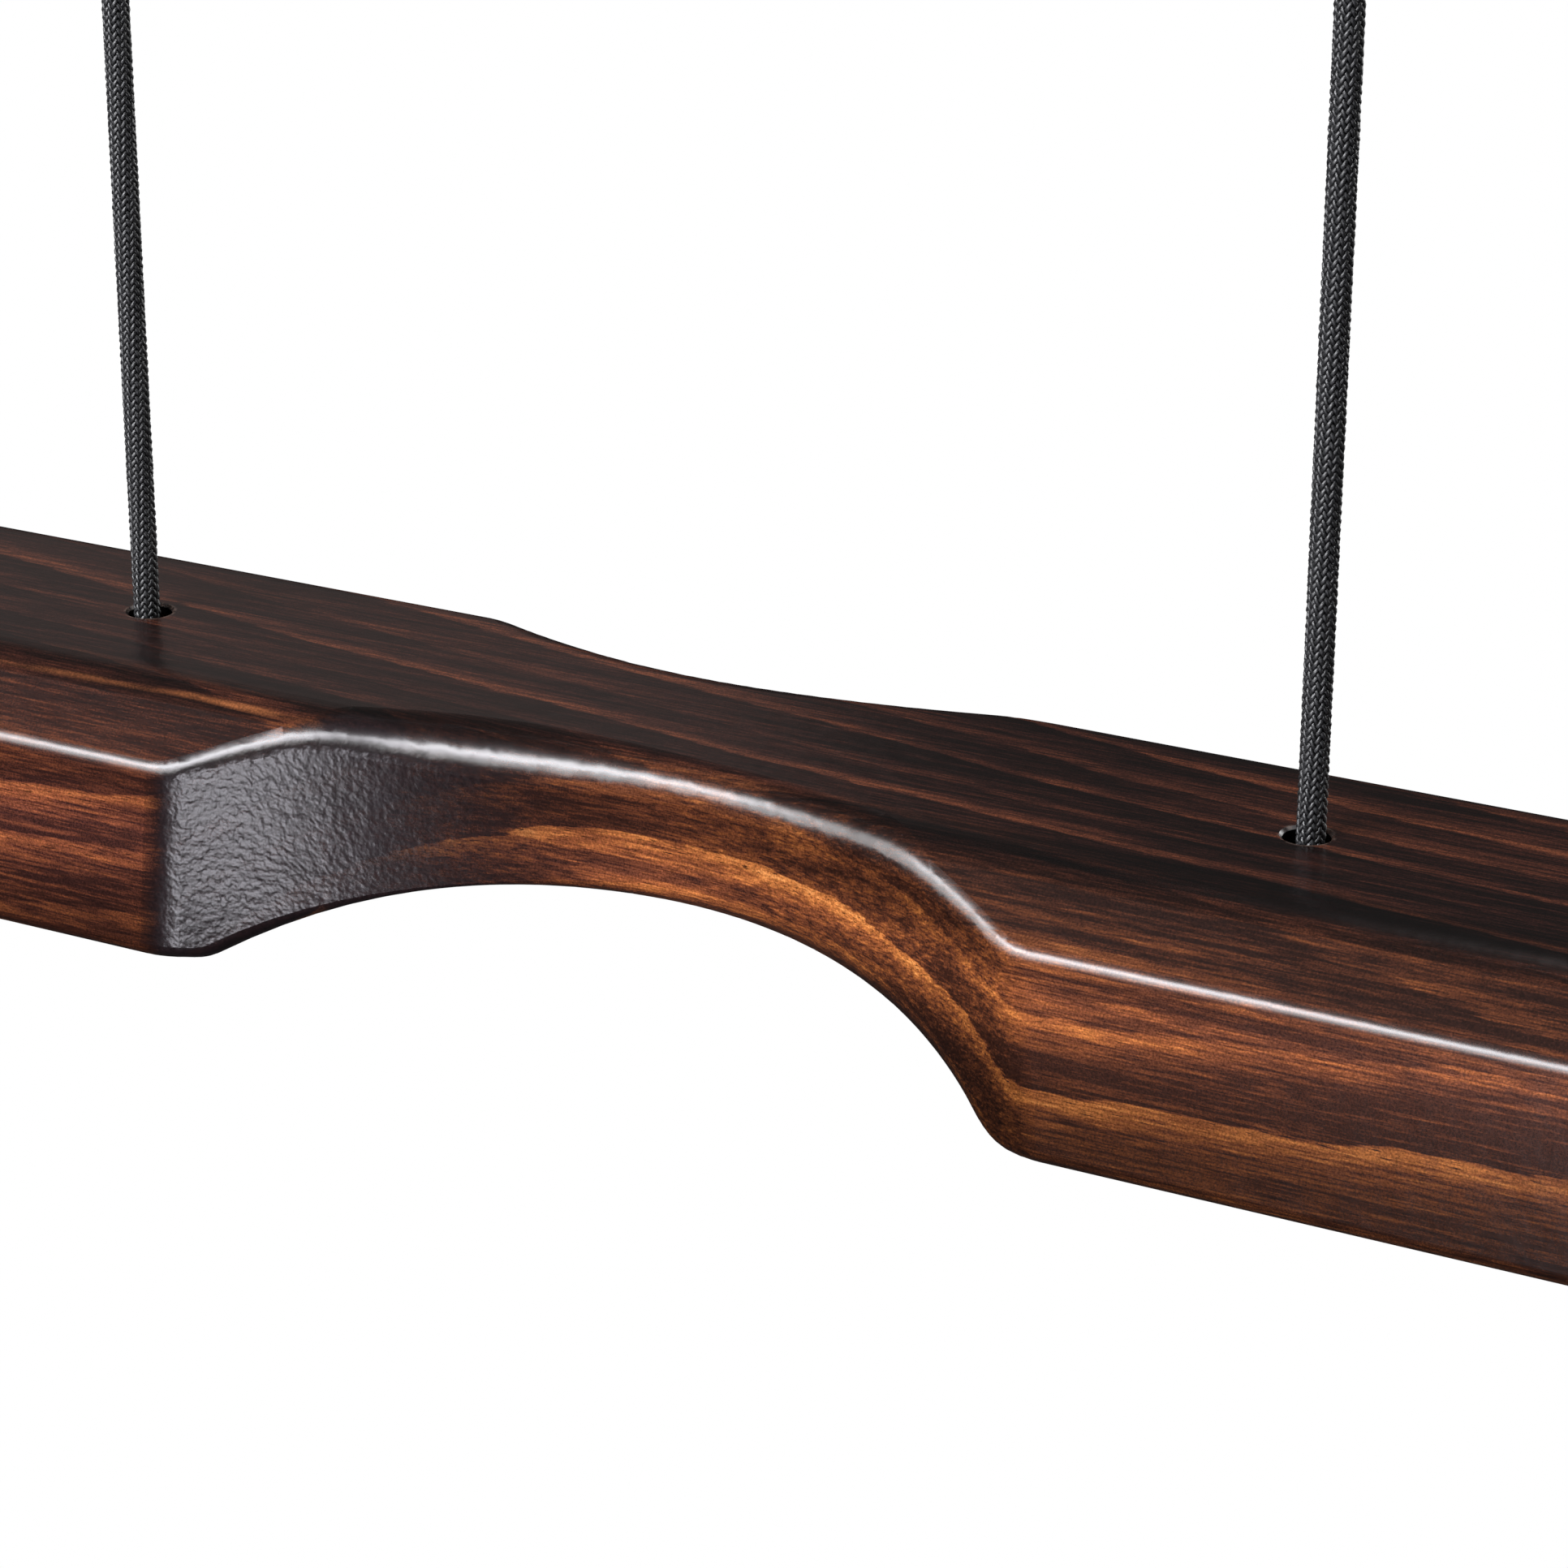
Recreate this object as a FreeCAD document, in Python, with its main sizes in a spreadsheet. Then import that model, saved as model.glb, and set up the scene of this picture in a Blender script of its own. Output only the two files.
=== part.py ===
"""Wooden grab rail that hangs level from a deckhead on two braided cords.

Millimetres. The origin lies on the deckhead (the surface overhead), midway between the two pad
eyes. X runs along the bar, Y across it, Z up, so everything hangs at negative Z.
"""
import FreeCAD, Part
import math
import os

import Sketcher
from FreeCAD import Placement, Rotation, Vector

DRIVING_SIZES = [
    ("drop", 221.0, "deckhead to the top of the bar"),
    ("cord_pitch", 230.0, "between the two cords"),
    ("cord_radius", 2.5, "braided cord"),
    ("bar_length", 457.2, "along X"),
    ("bar_width", 84.0, "across the full section"),
    ("bar_height", 48.2, "top to underside"),
    ("ridge_half_width", 28.6, "middle of the bar to the sharp ridge of the flat top"),
    ("ridge_radius", 12.0, "rounding of that ridge"),
    ("bevel_drop", 11.5, "height that the top bevels take off the sides"),
    ("hole_pitch", 228.6, "between the two cord holes, half the bar's length"),
    ("hole_radius", 4.0, "cord hole"),
    ("hole_chamfer", 0.5, "broken edge of the cord hole"),
    ("pocket_radius", 11.0, "counterbore for washer and knot"),
    ("pocket_depth", 14.0, "counterbore, from the underside"),
    ("waist_half_width", 23.4, "half width of the hand grip at the top"),
    ("waist_radius", 182.0, "of each side hollow, in plan"),
    ("waist_shift", -1.0, "middle of the side hollows from the bar's middle"),
    ("waist_draft", 2.3, "degrees by which the hollows flare downwards"),
    ("arch_radius", 145.0, "of the arch under the hand grip"),
    ("arch_height", 21.9, "rise of the arch above the underside"),
    ("arch_shift", -1.8, "middle of the arch from the bar's middle"),
    ("front_corner_radius", 16.0, "upright edges between the front hollow and the side"),
    ("back_corner_radius", 36.0, "upright edges between the back hollow and the side"),
    ("end_radius", 10.0, "upright edges at the bar's two ends"),
    ("arch_blend_radius", 9.0, "where the arch runs into the underside"),
    ("top_edge_radius", 4.0, "upper edges, away from the hand grip"),
    ("grip_top_radius", 8.0, "upper edges in the middle of the hand grip"),
    ("low_edge_radius", 3.0, "lower edges, away from the hand grip"),
    ("grip_low_radius", 7.0, "lower edges in the middle of the hand grip"),
    ("run_gap", 0.6, "play between the hanging cord and its end inside the bar"),
    ("washer_radius", 9.5, "steel washer"),
    ("washer_bore_radius", 3.25, "steel washer"),
    ("washer_thickness", 1.6, "steel washer"),
    ("knot_radius", 7.2, "stopper knot"),
    ("knot_height", 11.6, "stopper knot"),
    ("knot_round", 4.5, "rounding of the stopper knot's two ends"),
    ("pin_drop", 15.0, "deckhead to the shackle pin's axis"),
    ("pin_radius", 2.5, "shackle pin"),
    ("pin_play", 0.1, "radial running clearance of the pin in the pad eye"),
    ("pin_head_radius", 5.0, "shackle pin's head"),
    ("pin_head_length", 2.2, "shackle pin's head"),
    ("pin_slot_width", 1.2, "screwdriver slot in the pin's head"),
    ("pin_slot_depth", 1.0, "screwdriver slot in the pin's head"),
    ("plate_length", 38.0, "pad eye's plate, along Y"),
    ("plate_width", 15.0, "pad eye's plate, along X"),
    ("plate_thickness", 3.0, "pad eye's plate"),
    ("plate_corner_radius", 5.0, "pad eye's plate"),
    ("screw_pitch", 26.0, "between the plate's two screw holes"),
    ("screw_hole_radius", 2.1, "plate's screw holes"),
    ("screw_sink_radius", 4.2, "countersink of the screw holes"),
    ("eye_radius", 6.0, "outside of the pad eye's eye"),
    ("eye_thickness", 4.0, "pad eye's web, along X"),
    ("bow_radius", 8.5, "shackle bow, along its centre line"),
    ("bow_drop", 26.4, "deckhead to the centre of the bow's curve"),
    ("wire_radius", 2.5, "shackle bow's rod"),
    ("ear_radius", 5.0, "shackle's ears"),
    ("ear_inner", 6.0, "middle of the shackle to the inside of an ear"),
    ("ear_thickness", 5.0, "shackle's ears, along X"),
    ("crown_drop", 39.0, "deckhead to the centre of the thimble's crown"),
    ("thimble_inner_radius", 8.0, "thimble's eye"),
    ("thimble_flange_radius", 11.2, "edge of the thimble's flanges"),
    ("thimble_width", 7.0, "thimble, along X"),
    ("thimble_tip_drop", 57.0, "deckhead to the thimble's lower end"),
    ("loop_radius", 11.5, "cord's centre line round the thimble"),
    ("throat_drop", 61.0, "deckhead to the top of the whipping"),
    ("throat_half_gap", 2.6, "half the distance between the loop's legs at the throat"),
    ("throat_radius", 8.0, "bend of each leg where it leaves the whipping"),
    ("whipping_length", 15.0, "whipping that binds the eye splice"),
    ("whipping_top_width", 11.8, "whipping's upper end, along Y"),
    ("whipping_top_depth", 7.4, "whipping's upper end, along X"),
    ("whipping_foot_radius", 3.3, "whipping's lower end"),
]
SIDES = ((-1, "left"), (1, "right"))

doc = FreeCAD.newDocument("grab_rail")
sheet = doc.addObject("Spreadsheet::Sheet", "Sizes")
for row, (alias, number, meaning) in enumerate(DRIVING_SIZES, start=1):
    sheet.set(f"A{row}", alias)
    sheet.set(f"B{row}", str(number))
    sheet.set(f"C{row}", meaning)
    sheet.setAlias(f"B{row}", alias)
doc.recompute()


def size(expression):
    """The value of an expression in the sheet's names."""
    return float(sheet.evalExpression(expression))


# --- sketches and features -------------------------------------------------------------------


def new_body(label, x="0", z="0"):
    """A body whose own origin hangs at (x, 0, z), both given as expressions."""
    body = doc.addObject("PartDesign::Body", label)
    body.Label = label
    body.setExpression("Placement.Base.x", x)
    body.setExpression("Placement.Base.z", z)
    return body


def sketch_on(body, role, name, offset="0"):
    """A sketch flat on one of the body's origin planes, moved along the plane's normal."""
    plane = next(item for item in body.Origin.OriginFeatures if item.Role == role)
    sketch = body.newObject("Sketcher::SketchObject", name)
    sketch.AttachmentSupport = [(plane, "")]
    sketch.MapMode = "FlatFace"
    sketch.setExpression("AttachmentOffset.Base.z", offset)
    return sketch


def drive(sketch, kind, references, expression):
    """A dimension of a sketch that follows an expression."""
    index = sketch.addConstraint(Sketcher.Constraint(kind, *references, size(expression)))
    sketch.setExpression(f"Constraints[{index}]", expression)


def add_polygon(sketch, corners):
    """A closed outline of straight lines, its corners given as pairs of expressions."""
    points = [Vector(size(u), size(v), 0) for u, v in corners]
    first = sketch.GeometryCount
    for start, end in zip(points, points[1:] + points[:1]):
        sketch.addGeometry(Part.LineSegment(start, end))
    for number, (u, v) in enumerate(corners):
        line = first + number
        after = first + (number + 1) % len(corners)
        sketch.addConstraint(Sketcher.Constraint("Coincident", line, 2, after, 1))
        drive(sketch, "DistanceX", (-1, 1, line, 1), u)
        drive(sketch, "DistanceY", (-1, 1, line, 1), v)


def add_circle(sketch, u, v, radius):
    """A circle with its centre and radius given as expressions."""
    circle = Part.Circle(Vector(size(u), size(v), 0), Vector(0, 0, 1), size(radius))
    index = sketch.addGeometry(circle)
    drive(sketch, "DistanceX", (-1, 1, index, 3), u)
    drive(sketch, "DistanceY", (-1, 1, index, 3), v)
    drive(sketch, "Radius", (index,), radius)


def pad(body, sketch, length, symmetric=False, reverse=False):
    """Adds a sketch's outline as a solid of some length."""
    feature = body.newObject("PartDesign::Pad", f"{sketch.Name}_pad")
    feature.Profile = sketch
    feature.SideType = "Symmetric" if symmetric else "One side"
    feature.Reversed = reverse
    feature.setExpression("Length", length)
    doc.recompute()


def cut(body, kind, sketch, settings):
    """A Pocket, Groove or Hole of a sketch; one that removes nothing is an error."""
    before = body.Shape.Volume
    feature = body.newObject(f"PartDesign::{kind}", f"{sketch.Name}_{kind.lower()}")
    feature.Profile = sketch
    for name, setting in settings.items():
        setattr(feature, name, setting)
    doc.recompute()
    if not body.Shape.Volume < before:
        raise RuntimeError(f"{feature.Name} removes nothing")
    return feature


def pocket(body, sketch, length, symmetric=False, reverse=False):
    """Cuts a sketch's outline out of the body, to some depth."""
    side = "Symmetric" if symmetric else "One side"
    feature = cut(body, "Pocket", sketch, {
        "Length": size(length), "SideType": side, "Reversed": reverse})
    feature.setExpression("Length", length)
    return feature


def edges_where(shape, test):
    """Names of the edges whose middle point passes a test."""
    names = []
    for number, edge in enumerate(shape.Edges, start=1):
        middle = edge.valueAt((edge.FirstParameter + edge.LastParameter) / 2)
        if test(middle):
            names.append(f"Edge{number}")
    return names


def round_edges(body, name, test, radius):
    """A constant-radius fillet on the body's tip."""
    dress(body, "Fillet", name, test, "Radius", radius)


def break_edges(body, name, test, width):
    """A chamfer of equal sides on the body's tip."""
    dress(body, "Chamfer", name, test, "Size", width)


def dress(body, kind, name, test, dimension, expression):
    """A Fillet or Chamfer on those edges of the body's tip that pass a test."""
    base = body.Tip
    names = edges_where(base.Shape, test)
    if not names:
        raise RuntimeError(f"{name} finds no edge")
    feature = body.newObject(f"PartDesign::{kind}", name)
    feature.Base = (base, names)
    feature.setExpression(dimension, expression)
    doc.recompute()


def near(a, b, tolerance=0.05):
    return abs(a - b) < tolerance


# --- the bar ---------------------------------------------------------------------------------


def bar_blank():
    """Bevelled bar with two side hollows, the arch under the hand grip and the cord holes."""
    body = new_body("grip_blank", z="-Sizes.drop")
    plan = sketch_on(body, "XY_Plane", "bar_plan")
    add_polygon(plan, [
        ("-Sizes.bar_length / 2", "-Sizes.bar_width / 2"),
        ("Sizes.bar_length / 2", "-Sizes.bar_width / 2"),
        ("Sizes.bar_length / 2", "Sizes.bar_width / 2"),
        ("-Sizes.bar_length / 2", "Sizes.bar_width / 2"),
    ])
    pad(body, plan, "Sizes.bar_height", reverse=True)
    side, end = size("bar_width / 2"), size("bar_length / 2")
    round_edges(body, "bar_ends", lambda p: near(abs(p.x), end) and near(abs(p.y), side),
                "Sizes.end_radius")
    bevels = sketch_on(body, "YZ_Plane", "bevels")
    for sign in (1, -1):
        add_polygon(bevels, [
            (f"{sign} * Sizes.ridge_half_width", "0"),
            (f"{sign} * Sizes.bar_width / 2", "0"),
            (f"{sign} * Sizes.bar_width / 2", "-Sizes.bevel_drop"),
        ])
    pocket(body, bevels, "2 * Sizes.bar_length", symmetric=True)
    ridge = size("ridge_half_width")
    round_edges(body, "bar_ridges", lambda p: near(abs(p.y), ridge) and near(p.z, 0)
                and abs(p.x) < end / 2, "Sizes.ridge_radius")
    hollow_out(body)
    for sign, name in ((-1, "front"), (1, "back")):
        round_edges(body, f"{name}_corners", lambda p: near(sign * p.y, side)
                    and abs(p.x) < size("hole_pitch / 2") and abs(p.z + size("bar_height / 2")) < 8,
                    f"Sizes.{name}_corner_radius")
    arch_out(body)
    drill_cord_holes(body)
    return body


def hollow_out(body):
    """Two shallow cones, their axes upright beside the bar, turn its middle into a waist."""
    above, below = "5", "-(Sizes.bar_height + 5)"
    flare = "tan(Sizes.waist_draft * 1 deg)"
    for sign, name in ((1, "front"), (-1, "back")):
        reach = f"{sign} * (Sizes.waist_half_width + Sizes.waist_radius)"
        sketch = sketch_on(body, "XZ_Plane", f"{name}_hollow", reach)
        sketch.setExpression("AttachmentOffset.Base.x", "Sizes.waist_shift")
        add_polygon(sketch, [
            ("0", above),
            (f"Sizes.waist_radius - 5 * {flare}", above),
            (f"Sizes.waist_radius + (Sizes.bar_height + 5) * {flare}", below),
            ("0", below),
        ])
        cut(body, "Groove", sketch, {"ReferenceAxis": (sketch, ["V_Axis"]), "Angle": 360})


def arch_out(body):
    """A long shallow arch cut up into the underside, blended into it at both feet.

    The arch is two arcs that meet at its top, so that the edges it makes have an end there.
    """
    sketch = sketch_on(body, "XZ_Plane", "arch")
    sketch.setExpression("AttachmentOffset.Base.x", "Sizes.arch_shift")
    height = "Sizes.arch_height - Sizes.bar_height - Sizes.arch_radius"
    whole = Part.Circle(Vector(0, size(height), 0), Vector(0, 0, 1), size("arch_radius"))
    quarter = math.pi / 2
    for number in (0, 1):
        arc = Part.ArcOfCircle(whole, number * quarter, (number + 1) * quarter)
        sketch.addGeometry(arc)
        drive(sketch, "DistanceX", (-1, 1, number, 3), "0")
        drive(sketch, "DistanceY", (-1, 1, number, 3), height)
    drive(sketch, "Radius", (0,), "Sizes.arch_radius")
    chord = sketch.addGeometry(Part.LineSegment(
        sketch.getPoint(1, 2), sketch.getPoint(0, 1)))
    for end_a, end_b in (((0, 2), (1, 1)), ((1, 2), (chord, 1)), ((chord, 2), (0, 1))):
        sketch.addConstraint(Sketcher.Constraint("Coincident", *end_a, *end_b))
    pocket(body, sketch, "2 * Sizes.bar_width", symmetric=True).Refine = False
    doc.recompute()
    foot = size("sqrt(arch_radius ^ 2 - (arch_radius - arch_height) ^ 2)")
    middle = size("arch_shift")
    round_edges(body, "arch_feet", lambda p: near(abs(p.x - middle), foot, 0.5) and near(p.y, 0, 1)
                and near(p.z, -size("bar_height")), "Sizes.arch_blend_radius")


def drill_cord_holes(body):
    """Through holes for the cords, each counterbored from below for its washer and knot."""
    holes = sketch_on(body, "XY_Plane", "cord_holes")
    pockets = sketch_on(body, "XY_Plane", "knot_pockets", "-Sizes.bar_height")
    for sign, _ in SIDES:
        add_circle(holes, f"{sign} * Sizes.hole_pitch / 2", "0", "Sizes.hole_radius")
        add_circle(pockets, f"{sign} * Sizes.hole_pitch / 2", "0", "Sizes.pocket_radius")
    pocket(body, holes, "Sizes.bar_height")
    pocket(body, pockets, "Sizes.pocket_depth", reverse=True)
    break_edges(body, "cord_hole_rims", lambda p: near(p.z, 0) and abs(p.y) < 0.1
                and near(abs(abs(p.x) - size("hole_pitch / 2")), size("hole_radius")),
                "Sizes.hole_chamfer")


def sharp_edges(shape, test):
    """(number, edge) of the edges that pass a test and where two faces really meet at an angle."""
    least_angle = math.radians(10)
    found = []
    for number, edge in enumerate(shape.Edges, start=1):
        middle = edge.valueAt((edge.FirstParameter + edge.LastParameter) / 2)
        if not test(middle):
            continue
        faces = [face for face in shape.Faces if any(edge.isSame(other) for other in face.Edges)]
        normals = [face.normalAt(*face.Surface.parameter(middle)) for face in faces]
        if len(normals) == 2 and normals[0].getAngle(normals[1]) > least_angle:
            found.append((number, edge))
    return found


def soften(base, label, test, grip_radius, plain_radius):
    """Rounds a run of edges, the radius growing from the corners to the middle of the grip."""
    reach = size("waist_radius") * math.sin(math.acos(
        1 - size("bar_width / 2 - waist_half_width") / size("waist_radius")))

    def radius_at(point):
        share = min(1, abs(point.x - size("waist_shift")) / reach) ** 2
        return grip_radius + (plain_radius - grip_radius) * share

    fillet = doc.addObject("Part::Fillet", label)
    fillet.Base = base
    fillet.Edges = [
        (number, radius_at(edge.valueAt(edge.FirstParameter)),
         radius_at(edge.valueAt(edge.LastParameter)))
        for number, edge in sharp_edges(base.Shape, test)
    ]
    doc.recompute()
    return fillet


def grip_bar():
    """The bar with its upper and lower edges rounded, most of all where the hand goes."""
    blank = bar_blank()
    top = -size("drop")
    upper = top - size("bevel_drop + top_edge_radius / 2")
    lower = top - size("(bar_height - arch_height) * 0.75")
    off_middle = size("hole_radius + ridge_radius")
    near_end = size("bar_length / 2 - end_radius")

    def upper_edge(point):
        return point.z > upper and (abs(point.y) > off_middle or abs(point.x) > near_end)

    def lower_edge(point):
        return point.z < lower and (abs(point.y) > off_middle or abs(point.x) > near_end)

    topped = soften(blank, "grip_rounded_above", upper_edge,
                    size("grip_top_radius"), size("top_edge_radius"))
    bar = soften(topped, "grip_bar", lower_edge,
                 size("grip_low_radius"), size("low_edge_radius"))
    bar.Label = "grip_bar"
    return bar


# --- the hardware overhead -------------------------------------------------------------------


def at_cord(sign):
    """X of one cord's line, as an expression."""
    return f"{sign} * Sizes.cord_pitch / 2"


def pad_eye(sign, name):
    """Oblong plate with two countersunk screw holes and, under it, a web with an eye."""
    body = new_body(f"{name}_pad_eye", at_cord(sign))
    plate = sketch_on(body, "XY_Plane", f"{name}_plate")
    add_polygon(plate, [
        (f"{u} * Sizes.plate_width / 2", f"{v} * Sizes.plate_length / 2")
        for u, v in ((-1, -1), (1, -1), (1, 1), (-1, 1))
    ])
    pad(body, plate, "Sizes.plate_thickness", reverse=True)
    round_edges(body, f"{name}_plate_corners", lambda p: near(p.z, -size("plate_thickness / 2")),
                "Sizes.plate_corner_radius")
    web = sketch_on(body, "YZ_Plane", f"{name}_web")
    add_polygon(web, [
        ("-Sizes.eye_radius", "-Sizes.plate_thickness / 2"),
        ("-Sizes.eye_radius", "-Sizes.pin_drop"),
        ("Sizes.eye_radius", "-Sizes.pin_drop"),
        ("Sizes.eye_radius", "-Sizes.plate_thickness / 2"),
    ])
    pad(body, web, "Sizes.eye_thickness", symmetric=True)
    eye = sketch_on(body, "YZ_Plane", f"{name}_eye")
    add_circle(eye, "0", "-Sizes.pin_drop", "Sizes.eye_radius")
    pad(body, eye, "Sizes.eye_thickness", symmetric=True)
    bore = sketch_on(body, "YZ_Plane", f"{name}_eye_bore")
    add_circle(bore, "0", "-Sizes.pin_drop", "Sizes.pin_radius + Sizes.pin_play")
    pocket(body, bore, "2 * Sizes.eye_thickness", symmetric=True)
    screws = sketch_on(body, "XY_Plane", f"{name}_screws", "-Sizes.plate_thickness")
    for side in (-1, 1):
        add_circle(screws, "0", f"{side} * Sizes.screw_pitch / 2", "Sizes.screw_hole_radius")
    cut(body, "Hole", screws, {
        "Diameter": size("2 * screw_hole_radius"), "DepthType": "ThroughAll", "Reversed": True,
        "HoleCutType": "Countersink", "HoleCutCustomValues": True,
        "HoleCutDiameter": size("2 * screw_sink_radius"), "HoleCutCountersinkAngle": 90})
    return body


def shackle(sign, name):
    """D-shackle: a bent rod with a bored ear on each end."""
    body = new_body(f"{name}_shackle", at_cord(sign))
    spine = sketch_on(body, "XZ_Plane", f"{name}_bow_line")
    centre = Vector(0, -size("bow_drop"), 0)
    bow = Part.ArcOfCircle(Part.Circle(centre, Vector(0, 0, 1), size("bow_radius")),
                           math.pi, 2 * math.pi)
    spine.addGeometry(bow)
    drive(spine, "DistanceX", (-1, 1, 0, 3), "0")
    drive(spine, "DistanceY", (-1, 1, 0, 3), "-Sizes.bow_drop")
    drive(spine, "Radius", (0,), "Sizes.bow_radius")
    for side, end in ((-1, 1), (1, 2)):
        foot = Vector(side * size("bow_radius"), centre.y, 0)
        head = Vector(foot.x, -size("pin_drop"), 0)
        leg = spine.addGeometry(Part.LineSegment(foot, head))
        spine.addConstraint(Sketcher.Constraint("Tangent", 0, end, leg, 1))
        spine.addConstraint(Sketcher.Constraint("Vertical", leg))
        drive(spine, "DistanceY", (-1, 1, leg, 2), "-Sizes.pin_drop")
    rod = sketch_on(body, "XY_Plane", f"{name}_bow_section", "-Sizes.pin_drop")
    add_circle(rod, "-Sizes.bow_radius", "0", "Sizes.wire_radius")
    pipe = body.newObject("PartDesign::AdditivePipe", f"{name}_bow")
    pipe.Profile = rod
    pipe.Spine = (spine, ["Edge2", "Edge1", "Edge3"])
    doc.recompute()
    for side in (-1, 1):
        ear = sketch_on(body, "YZ_Plane", f"{name}_ear_{'ab'[side > 0]}", f"{side} * Sizes.ear_inner")
        add_circle(ear, "0", "-Sizes.pin_drop", "Sizes.ear_radius")
        pad(body, ear, "Sizes.ear_thickness", reverse=side < 0)
    bore = sketch_on(body, "YZ_Plane", f"{name}_ear_bore")
    add_circle(bore, "0", "-Sizes.pin_drop", "Sizes.pin_radius")
    pocket(body, bore, "4 * Sizes.bow_radius", symmetric=True)
    return body


def shackle_pin(sign, name):
    """Straight pin through both ears, its slotted head on the outer side."""
    body = new_body(f"{name}_shackle_pin", at_cord(sign), "-Sizes.pin_drop")
    shank = sketch_on(body, "YZ_Plane", f"{name}_shank")
    add_circle(shank, "0", "0", "Sizes.pin_radius")
    pad(body, shank, "2 * (Sizes.ear_inner + Sizes.ear_thickness)", symmetric=True)
    outside = f"{sign} * (Sizes.ear_inner + Sizes.ear_thickness)"
    head = sketch_on(body, "YZ_Plane", f"{name}_head", outside)
    add_circle(head, "0", "0", "Sizes.pin_head_radius")
    pad(body, head, "Sizes.pin_head_length", reverse=sign < 0)
    slot = sketch_on(body, "YZ_Plane", f"{name}_slot",
                     f"{outside} + {sign} * Sizes.pin_head_length")
    add_polygon(slot, [
        (f"{u} * Sizes.pin_head_radius * 1.1", f"{v} * Sizes.pin_slot_width / 2")
        for u, v in ((-1, -1), (1, -1), (1, 1), (-1, 1))
    ])
    pocket(body, slot, "Sizes.pin_slot_depth", reverse=sign < 0)
    return body


# --- the cords and what is on them -----------------------------------------------------------


def leg_lean():
    """Angle from upright of the loop's straight legs, tangent to the crown and the throat bend."""
    across = size("throat_half_gap + throat_radius")
    down = size("throat_drop - crown_drop")
    reach = size("loop_radius + throat_radius")
    return math.atan2(down, across) - math.acos(reach / math.hypot(across, down))


def in_plane(y, z):
    return Vector(0, y, z)


def crown_point(radius, angle):
    """Point of a circle about the crown's centre, the angle counted from +Y towards +Z."""
    return in_plane(radius * math.cos(angle), radius * math.sin(angle) - size("crown_drop"))


def cord_line():
    """The loop's centre line: throat bend, leg, crown, leg and throat bend."""
    lean = leg_lean()
    radius = size("loop_radius")
    bend, gap, throat = size("throat_radius"), size("throat_half_gap"), -size("throat_drop")

    def bend_point(side, angle):
        return in_plane(side * (gap + bend - bend * math.cos(angle)),
                        throat + bend * math.sin(angle))

    edges = []
    for side in (-1, 1):
        top = crown_point(radius, -lean if side > 0 else math.pi + lean)
        arc = Part.Arc(bend_point(side, 0), bend_point(side, lean / 2), bend_point(side, lean))
        leg = Part.LineSegment(bend_point(side, lean), top)
        edges.append([arc.toShape(), leg.toShape()])
    crown = Part.Arc(crown_point(radius, math.pi + lean), crown_point(radius, math.pi / 2),
                     crown_point(radius, -lean)).toShape()
    return Part.Wire([*edges[0], crown, *reversed(edges[1])])


def tube(line, radius):
    """Round tube along a line that starts upright at the throat."""
    start = in_plane(-size("throat_half_gap"), -size("throat_drop"))
    ring = Part.Wire(Part.Circle(start, Vector(0, 0, 1), radius).toShape())
    solid = line.makePipeShell([ring], True, False)
    ideal = math.pi * radius ** 2 * line.Length
    if abs(solid.Volume / ideal - 1) > 0.01:
        raise RuntimeError("a tube's volume is not its section times its length")
    return solid


def set_piece(label, shape, sign):
    """A sub-part from a finished shape, moved to its cord."""
    piece = doc.addObject("Part::Feature", label)
    piece.Label = label
    piece.Shape = shape
    piece.Placement = Placement(Vector(size(at_cord(sign)), 0, 0), Rotation())
    return piece


def cord_loop(sign, name):
    """The cord's eye, round the thimble."""
    line = cord_line()
    radii = [size("throat_radius"), size("loop_radius")]
    print(f"{name}_cord_loop: bend radii {radii} mm, length {line.Length:.1f} mm")
    return set_piece(f"{name}_cord_loop", tube(line, size("cord_radius")), sign)


def thimble(sign, name):
    """Teardrop ring, grooved on the outside for the cord."""
    lean = leg_lean()
    tip = -size("thimble_tip_drop")

    def outline(radius, foot):
        """Crown arc of some radius, with legs down to the tip's level or to their meeting point."""
        left, right = crown_point(radius, math.pi + lean), crown_point(radius, -lean)
        meeting = -size("crown_drop") - radius / math.sin(lean)
        crown = Part.Arc(left, crown_point(radius, math.pi / 2), right).toShape()
        ends = [in_plane(side * max(0, foot - meeting) * math.tan(lean), max(foot, meeting))
                for side in (-1, 1)]
        corners = [right, ends[1], ends[0], left]
        legs = [Part.makeLine(a, b) for a, b in zip(corners, corners[1:])
                if a.distanceToPoint(b) > 0.001]
        return Part.Face(Part.Wire([crown, *legs]))

    width = size("thimble_width")
    flat = outline(size("thimble_flange_radius"), tip).cut(
        outline(size("thimble_inner_radius"), tip))
    flat.translate(Vector(-width / 2, 0, 0))
    solid = flat.extrude(Vector(width, 0, 0)).cut(tube(cord_line(), size("cord_radius")))
    return set_piece(f"{name}_thimble", solid, sign)


def whipping(sign, name):
    """Twine bound round the eye splice, flat where two legs leave it and round where one does."""
    top, foot = -size("throat_drop"), -size("throat_drop + whipping_length")
    half_width, half_depth = size("whipping_top_width / 2"), size("whipping_top_depth / 2")
    oval = Part.Ellipse(in_plane(half_width, top), Vector(half_depth, 0, top), in_plane(0, top))
    circle = Part.Circle(in_plane(0, foot), Vector(0, 0, 1), size("whipping_foot_radius"))
    sections = [Part.Wire(curve.toShape()) for curve in (oval, circle)]
    return set_piece(f"{name}_whipping", Part.makeLoft(sections, True), sign)


def cylinder(label, x, top, radius, length):
    """Upright cylinder hanging from a level, all given as expressions."""
    piece = doc.addObject("Part::Cylinder", label)
    piece.Label = label
    piece.setExpression("Radius", radius)
    piece.setExpression("Height", length)
    piece.setExpression("Placement.Base.x", x)
    piece.setExpression("Placement.Base.z", f"{top} - ({length})")
    return piece


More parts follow.
